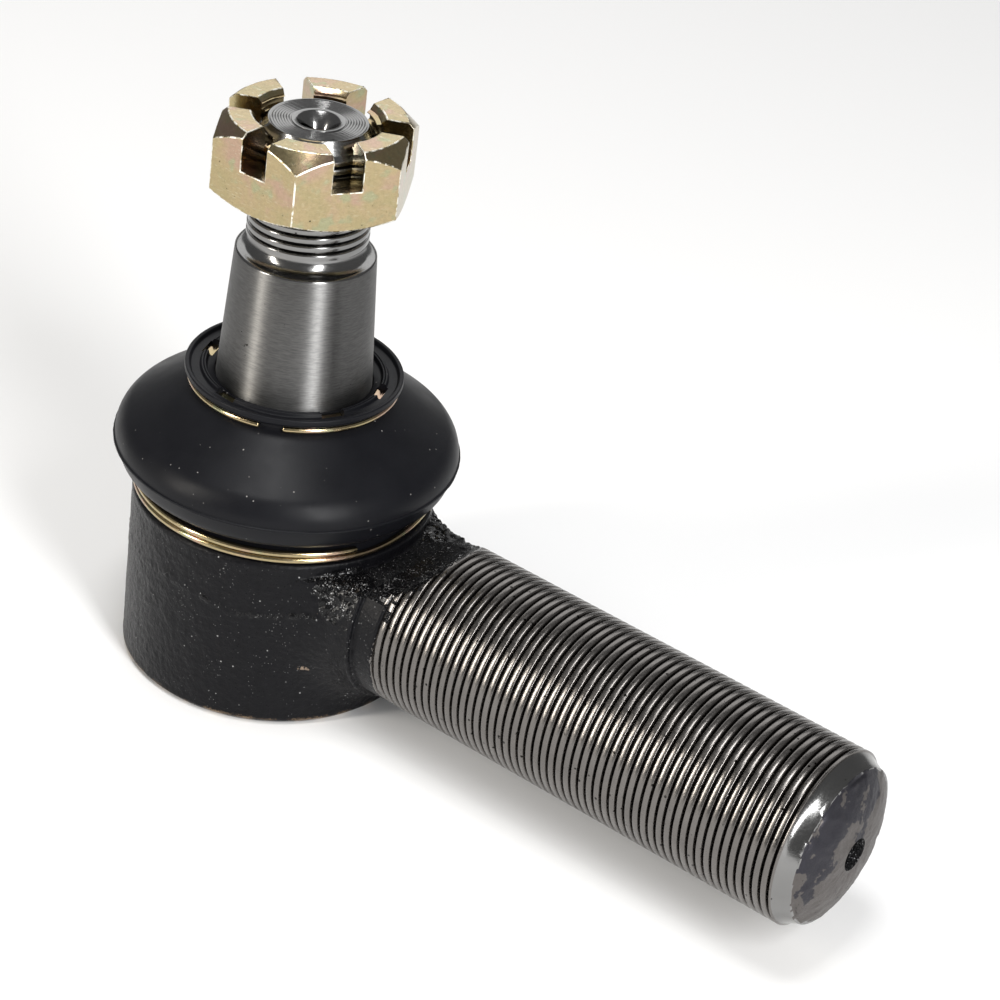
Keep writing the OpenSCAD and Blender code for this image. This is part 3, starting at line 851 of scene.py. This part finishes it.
def make_stud():
    """Ball stud: ball, neck, ground taper, polished cove, thread and turned end face."""
    ball_r, ball_cut, neck, cove_r = 15, 11, 8.4, 9.0
    ball_flat = socket_z - ball_cut
    low = -math.asin(ball_cut / ball_r)
    high = math.acos(neck / ball_r)
    turns = [low + (high - low) * k / 24 for k in range(25)]
    ball = [(ball_r * math.cos(a), socket_z + ball_r * math.sin(a)) for a in turns]
    flare = [(neck, 39), (8.6, 40.5), (9.1, 42.3), (10, 44), (12.2, 45.4), (13.2, 46.3)]
    heights = (taper_from, 50, 55, 60, 65, 70, 74, taper_top - 0.4, taper_top - 0.15)
    taper = [(taper_r(z), z) for z in heights]
    cove_top, cove_height = stud_thread_from - 0.4, 2.3
    cove_rim_r = taper_top_r - 0.4
    turns = [math.pi / 2 * k / 12 for k in range(13)]
    cove = [
        (cove_rim_r - (cove_rim_r - cove_r) * math.sin(a), cove_top - cove_height * math.cos(a))
        for a in turns
    ]
    # turning marks on the end face
    rings = []
    ring_gap, ring_from, tip_r = 0.44, 4.6, 8.0
    ring_z = stud_top - 0.14
    r = tip_r - 0.25
    while r > ring_from:
        rings += [(r, stud_top - 0.03), (r - 0.16, ring_z), (r - 0.26, ring_z)]
        r -= ring_gap
    hole_r, drill_r = 3.45, 1.7
    piece = threaded_solid(
        "ball_stud_turned",
        stud_thread,
        stud_thread_from,
        stud_thread_to,
        128,
        [
            (0, ball_flat + 4.8), (drill_r - 0.1, ball_flat + 4.8), (drill_r, ball_flat + 3.2),
            (3.4, ball_flat + 0.1), (3.6, ball_flat), *ball, *flare, *taper,
            (taper_top_r - 0.13, taper_top + 0.02), *cove, (cove_r, stud_thread_from - 0.2),
        ],
        [
            (9.25, stud_thread_to + 0.6), (9.15, stud_thread_to + 0.75), (8.12, stud_top - 0.32),
            (8.02, stud_top - 0.1), (tip_r, stud_top - 0.02), *rings, (ring_from - 0.3, stud_top),
            (hole_r + 0.25, stud_top), (hole_r, stud_top - 0.12), (drill_r + 0.1, stud_top - 3.0),
            (drill_r, stud_top - 3.2), (drill_r, stud_top - 4.6), (0, stud_top - 4.8),
        ],
        fade=(0.9, 0.8),
    )
    # the cotter hole lines up with a pair of the nut's slots
    cotter_r, reach = 2, 14
    cotter_at = Vector((0, 0, nut_top - 4.1)) * MM
    profile = [(0, -reach, 0), (cotter_r, -reach, 0), (cotter_r, reach, 0), (0, reach, 0)]
    drill = lathe("drill", profile, 32)
    upright = Matrix.Translation(cotter_at) @ Matrix.Rotation(math.radians(30), 4, "Z")
    drill.matrix_world = upright @ Matrix.Rotation(math.pi / 2, 4, "Y")
    carve(piece, drill)
    coat(piece, stud_metal, taper_metal)
    on_taper = [taper_from - 1 < p.center.z / MM < taper_top - 0.1 for p in piece.data.polygons]
    piece.data.polygons.foreach_set("material_index", on_taper)
    return crisp(piece, 40)


def box_tool(low, high, turn_degrees=0.0):
    """Box for cutting, turned about the stud axis."""
    points = [(x, y, z) for x in (low[0], high[0]) for y in (low[1], high[1]) for z in (low[2], high[2])]
    faces = [(0, 1, 3, 2), (4, 6, 7, 5), (0, 4, 5, 1), (2, 3, 7, 6), (0, 2, 6, 4), (1, 5, 7, 3)]
    tool = welded(mesh_object("box_tool", points, faces, smooth=False))
    tool.data.transform(Matrix.Rotation(math.radians(turn_degrees), 4, "Z"))
    return tool


def mark_edges(piece, beyond_r):
    """Gives the sharp edges further out than a radius the weight that a bevel needs."""
    made = bmesh.new()
    made.from_mesh(piece.data)
    weight = made.edges.layers.float.new("bevel_weight_edge")
    for edge in made.edges:
        outside = all(math.hypot(v.co.x, v.co.y) > beyond_r * MM for v in edge.verts)
        if outside and len(edge.link_faces) == 2 and edge.calc_face_angle() > math.radians(25):
            edge[weight] = 1
    made.to_mesh(piece.data)
    made.free()


def make_nut():
    """Castle nut with chamfered corners, six slots, a crown countersink and a thread."""
    corner_r = nut_flats / 2 / math.cos(math.pi / 6)
    face_r = nut_flats / 2 - 0.6
    chamfer = (corner_r - face_r) * math.tan(math.pi / 6)
    crown_r = nut_flats / 2 - 0.7
    crown = corner_r - crown_r
    slot_w, slot_h, bore, sink = 5, 6.4, stud_thread["r"], 0.8
    hexagon = [(0, nut_low, 0), (corner_r, nut_low, 0), (corner_r, nut_top, 0), (0, nut_top, 0)]
    piece = lathe("castle_nut_plated", hexagon, 6)
    rounded = lathe(
        "rounded",
        [
            (0, nut_low, 0), (face_r, nut_low, 0), (corner_r + 0.02, nut_low + chamfer, 0),
            (corner_r + 0.02, nut_top - crown, 0), (crown_r, nut_top, 0), (0, nut_top, 0),
        ],
        144,
    )
    rounded.data.transform(Matrix.Rotation(math.radians(0.7), 4, "Z"))
    carve(piece, rounded, "INTERSECT")
    above, below = nut_top + 0.3, nut_low - 0.2
    top_sink, low_sink = nut_top - sink, nut_low + sink + 0.1
    for corners in (
        [(0, top_sink, 0), (bore, top_sink, 0), (bore + sink + 0.3, above, 0), (0, above, 0)],
        [(0, below, 0), (bore + sink + 0.3, below, 0), (bore, low_sink, 0), (0, low_sink, 0)],
    ):
        carve(piece, lathe("sink", corners, 144))
    slot_low = (0, -slot_w / 2, nut_top - slot_h)
    slot_high = (nut_flats, slot_w / 2, nut_top + 1)
    for k in range(6):
        carve(piece, box_tool(slot_low, slot_high, 30 + 60 * k))
    tap_r, tap_from = bore + 0.05, stud_thread_from - 0.1
    tap = threaded_solid(
        "tap",
        {**stud_thread, "r": tap_r},
        stud_thread_from,
        nut_top - 0.9,
        96,
        [(0, tap_from), (9, tap_from)],
        [(tap_r, nut_top - 0.8), (tap_r, nut_top + 1), (0, nut_top + 1)],
        fade=(0.9, 0.0),
    )
    carve(piece, tap)
    coat(piece, zinc, edge_highlight_zinc)
    mark_edges(welded(piece), bore + 0.35)
    # the bevels take the pale zinc of the painted edge highlight
    bevel = {"width": 0.16 * MM, "segments": 2, "material": 1, "limit_method": "WEIGHT"}
    apply_modifier(piece, "BEVEL", use_clamp_overlap=False, **bevel)
    crisp(piece, 30)
    return apply_modifier(piece, "WEIGHTED_NORMAL", mode="FACE_AREA", weight=100, keep_sharp=True)


# bearings of the notches that show the lip's ring
NOTCHES = (20, 92, 200, 265, 335)


def make_boot():
    """Moulded rubber boot: lower lip, pinched waist, seam, dome, groove and upper lip."""
    seam_z = shoulder_z + 8.7
    arc_r, dome = 5.5, math.radians(57)
    arc_x, arc_z = boot_r - 0.3 - arc_r, seam_z + 0.25
    lip_r = 18.2
    lower_r = neck_r + 2.15
    wall = 2
    steps = 12

    def on_arc(r, k):
        """Corner at step k of the bulge, up from the seam."""
        return (arc_x + r * math.cos(dome * k / steps), arc_z + r * math.sin(dome * k / steps), 0)

    outer_arc = [on_arc(arc_r, k) for k in range(steps + 1)]
    inner_arc = [on_arc(arc_r - wall, k) for k in range(steps, -1, -1)]
    groove = lip_r - 1.7
    groove_low = outer_arc[-1][1] + (outer_arc[-1][0] - groove) / math.tan(dome)
    under = lip_top - 4.7
    inner_foot_r = inner_arc[0][0] - (under - inner_arc[0][1]) * math.tan(dome)
    profile = [
        (lower_r - 0.15, shoulder_z + 0.1, 0.2), (lower_r, shoulder_z + 0.35, 0.1),
        (lower_r - 0.05, shoulder_z + 3.0, 0.5), (boot_r - 1.5, seam_z - 3.5, 1.2),
        (boot_r - 0.75, seam_z - 1.2, 0.6), (boot_r - 0.48, seam_z - 0.26, 0.06),
        (boot_r - 0.02, seam_z - 0.14, 0.05), (boot_r - 0.02, seam_z + 0.14, 0.05), *outer_arc,
        (groove + 0.25, groove_low + 0.05, 0.3), (groove, groove_low + 0.35, 0.2),
        (groove, upper_wire_z + wire_r + 0.1, 0.25), (lip_r - 0.45, lip_top - 1.5, 0.3),
        (lip_r, lip_top - 1.05, 0.3), (lip_r - 0.05, lip_top - 0.02, 0.28),
        (lip_r - 0.75, lip_top - 0.02, 0.22), (lip_r - 1.05, lip_top - 0.75, 0.2),
        (lip_r - 2.55, lip_top - 0.8, 0.25), (lip_r - 2.75, lip_top - 0.2, 0.15),
        (lip_r - 3.05, lip_top - 0.2, 0.12), (lip_r - 3.15, lip_top - 0.42, 0.08),
        (lip_r - 3.25, lip_top - 0.2, 0.1), (lip_r - 3.5, lip_top - 0.22, 0.15),
        (lip_r - 3.7, lip_top - 1.0, 0.25), (taper_r(lip_top - 1.5) + 0.12, lip_top - 1.4, 0.2),
        (taper_r(under) + 0.12, under, 0.2), (inner_foot_r, under, 0.8), *inner_arc,
        (boot_r - wall - 0.3, seam_z - 1, 0.4), (boot_r - wall - 1.6, seam_z - 2.8, 0.8),
        (bead_r + 0.25, shoulder_z + 5.2, 0.3), (bead_r + 0.25, shoulder_z + 3.8, 0.2),
        (neck_r + 0.06, shoulder_z + 3.5, 0.1), (neck_r + 0.06, shoulder_z + 0.1, 0.1),
    ]
    piece = lathe("dust_boot_rubber", profile, 192, longest=1.2)
    half_width = 2
    notch_low = (insert_bore - 0.05, -half_width, insert_z - 0.12)
    notch_high = (insert_r + 0.05, half_width, lip_top + 1)
    for bearing in NOTCHES:
        carve(piece, box_tool(notch_low, notch_high, bearing))
    points = np.array([v.co for v in piece.data.vertices]) / MM
    rho = radii(points)
    # the free rubber isn't perfectly round, and the seam has a ragged flash
    bearing = np.arctan2(points[:, 1], points[:, 0])
    at_seam = np.exp(-(((points[:, 2] - seam_z) / 0.2) ** 2)) * (rho > boot_r - 0.5)
    flash = -0.1 * at_seam * np.clip(fractal(points, 0.8, 3, 11) + 0.3, 0, 1)
    free = smooth_step(points[:, 2], shoulder_z + 4, seam_z) * (points[:, 2] < lip_top - 5)
    uneven = flash - 0.02 * (1 + np.sin(3 * bearing)) * free
    points[:, :2] *= (1 + uneven / np.maximum(rho, 1e-6))[:, None]
    piece.data.vertices.foreach_set("co", (points * MM).ravel())
    coat(piece, rubber)
    return crisp(piece, 45)


def wire(name, path_radius, heights, degrees, thin=1.0):
    """Round wire along an arc about the stud axis, with its ends cut square and slightly rounded.

    degrees is (from, to), heights gives the height at each bearing, and thin is the wire's
    thickness as a share of the CAD wire's.
    """
    first, last = degrees
    around, steps = 14, max(8, int(abs(last - first) / 2))
    middle = np.linspace(first, last, steps + 1)[1:-1]
    rounding = 0.15
    cap = math.degrees(rounding / path_radius) * (1 if last > first else -1)
    bearings = [first, first + cap, *middle, last - cap, last]
    size = np.full(len(bearings), wire_r * thin)
    size[[0, -1]] -= rounding - 0.01
    points = []
    for b, r in zip(bearings, size):
        here = math.radians(b)
        for k in range(around):
            a = TAU * k / around
            out = path_radius + r * math.cos(a)
            points.append((out * math.cos(here), out * math.sin(here), heights(b) + r * math.sin(a)))
    faces = grid_faces(len(bearings), around)
    faces += [tuple(range(around)), tuple(range(len(points) - around, len(points)))]
    piece = welded(mesh_object(name, points, faces), 0.0005)
    coat(piece, zinc)
    return crisp(piece, 50)


def make_lower_clip():
    """One wire that goes round twice, its upper turn ending where it shows."""
    low = foot_z("boot_lower_clip") + wire_r
    high = corner("boot_lower_clip").z - wire_r
    radius = corner("boot_lower_clip").x - wire_r

    def height(bearing):
        """Level high before the crossing at bearing 0, and low after it."""
        return low + (high - low) * float(smooth_step(bearing, -20, 20))

    return wire("boot_lower_clip_wire", radius, height, (339.5, -334), thin=0.9)


def make_upper_clip():
    """One turn of wire with a gap, below the lip."""
    path_radius = 17.15
    return wire("boot_upper_clip_wire", path_radius, lambda bearing: upper_wire_z, (305.5, 652.5))


def make_insert():
    """Reinforcing ring moulded into the upper lip."""
    low, rim = foot_z("boot_lip_insert"), insert_r - 0.02
    piece = lathe(
        "boot_lip_insert_plated",
        [(insert_bore, low, 0.2), (rim, low, 0.2), (rim, insert_z, 0.25), (insert_bore, insert_z, 0.25)],
    )
    coat(piece, zinc)
    return crisp(piece, 50)


def make_cover():
    """Pressed steel cover that closes the socket, with its boss and seal groove."""
    low, top = snap_high, corner("end_cover").z
    rim = bore_r - 0.05
    boss_r, boss_z = 7.6, 0.03
    seal_r, seal_low, seal_high = 18.5, 3.4, 4.9
    hollow_z = 2.4
    piece = lathe(
        "end_cover_pressed",
        [
            (0, boss_z, 0), (boss_r, boss_z, 1.4), (boss_r + 3.2, low, 1.4), (rim, low, 0.35),
            (rim, seal_low, 0.1), (seal_r, seal_low, 0.15), (seal_r, seal_high, 0.15),
            (rim, seal_high, 0.1), (rim, top, 0.35), (boss_r + 3.4, top, 1.2),
            (boss_r + 0.4, hollow_z, 1.2), (0, hollow_z, 0),
        ],
        160,
        longest=1.5,
    )
    coat(piece, zinc)
    return crisp(piece, 50)


# ---------------- the object

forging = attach(make_forging(), "housing_body")
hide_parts("housing")

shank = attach(make_shank(), "housing_body")
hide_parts("housing")

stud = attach(make_stud(), "stud_body")
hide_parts("ball_stud")

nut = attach(make_nut(), "stud_body")
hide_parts("castle_nut")

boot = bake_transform(make_boot())
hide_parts("dust_boot")

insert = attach(make_insert(), "lip_body")
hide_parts("boot_lip_insert")

upper_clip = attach(make_upper_clip(), "lip_body")
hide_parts("boot_upper_clip")

lower_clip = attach(make_lower_clip(), "housing_body")
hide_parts("boot_lower_clip")

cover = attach(make_cover(), "housing_body")
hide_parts("end_cover")

resin = seat_resin()
spring_metal = spring_steel()
seal = seal_rubber()
for node, material in (
    ("upper_ball_seat", resin),
    ("lower_ball_seat", resin),
    ("preload_spring", spring_metal),
    ("cover_snap_ring", spring_metal),
    ("cover_seal", seal),
):
    mesh = frame["nodes"][node].data
    mesh.materials.clear()
    mesh.materials.append(material)


# ---------------- studio


def toward(azimuth, elevation, distance):
    """Point at a distance from the origin, in metres. Azimuth 0 is on -Y and 90 on +X."""
    a, e = math.radians(azimuth), math.radians(elevation)
    return Vector((math.sin(a) * math.cos(e), -math.cos(a) * math.cos(e), math.sin(e))) * distance


def add_camera():
    """Camera with a long lens above the front-right corner, rolled a little."""
    data = bpy.data.cameras.new("camera")
    data.lens = 104.8
    data.sensor_width = 36
    camera = placed("camera", data)
    camera.location = toward(38.76, 34.65, 0.5128)
    aim = Vector((0.0270, 0.0257, 0.0309))
    look = (aim - camera.location).to_track_quat("-Z", "Y")
    roll = Matrix.Rotation(math.radians(8.11), 3, "Z").to_quaternion()
    camera.rotation_mode = "QUATERNION"
    camera.rotation_quaternion = look @ roll
    data.clip_start, data.clip_end = 0.01, 20
    bpy.context.scene.camera = camera


def add_light(name, azimuth, elevation, distance, width, height, radiance, color=(1, 1, 1)):
    """Soft box that faces the middle of the object, as bright as radiance where it is seen."""
    data = bpy.data.lights.new(name, "AREA")
    data.shape = "RECTANGLE"
    data.size, data.size_y = width, height
    data.energy = radiance * math.pi * width * height
    data.color = color
    light = placed(name, data)
    middle = Vector((0.02, 0, 0.04))
    light.location = middle + toward(azimuth, elevation, distance)
    light.rotation_euler = (middle - light.location).to_track_quat("-Z", "Y").to_euler()


def add_floor():
    """Plain pale floor."""
    side = 6 / MM
    corners = ((-side, -side), (side, -side), (side, side), (-side, side))
    floor = mesh_object("floor", [(x, y, -0.05) for x, y in corners], [(0, 1, 2, 3)])
    n = Nodes("pale_floor")
    color = n.mixed(n.noise(0.002, 1), (0.86, 0.86, 0.86), (0.88, 0.88, 0.88))
    coat(floor, n.finish(color, 0.9, Specular_IOR_Level=0.0))


def add_world():
    """Even grey surroundings."""
    world = bpy.data.worlds.new("studio")
    bpy.context.scene.world = world
    world.use_nodes = True
    background = world.node_tree.nodes["Background"]
    background.inputs["Color"].default_value = (1, 1, 1, 1)
    background.inputs["Strength"].default_value = 0.2


bpy.context.scene.view_settings.view_transform = "Standard"
add_camera()
add_floor()
add_world()
add_light("right_strip", 66, 29, 0.75, 0.15, 0.58, 21)
add_light("left_strip", -27, 22, 0.75, 0.085, 0.48, 24, (1, 0.95, 0.87))
add_light("top_box", 0, 80, 0.9, 0.3, 0.3, 13)
add_light("back_card", 219, 36, 0.9, 1.1, 0.45, 1.4)
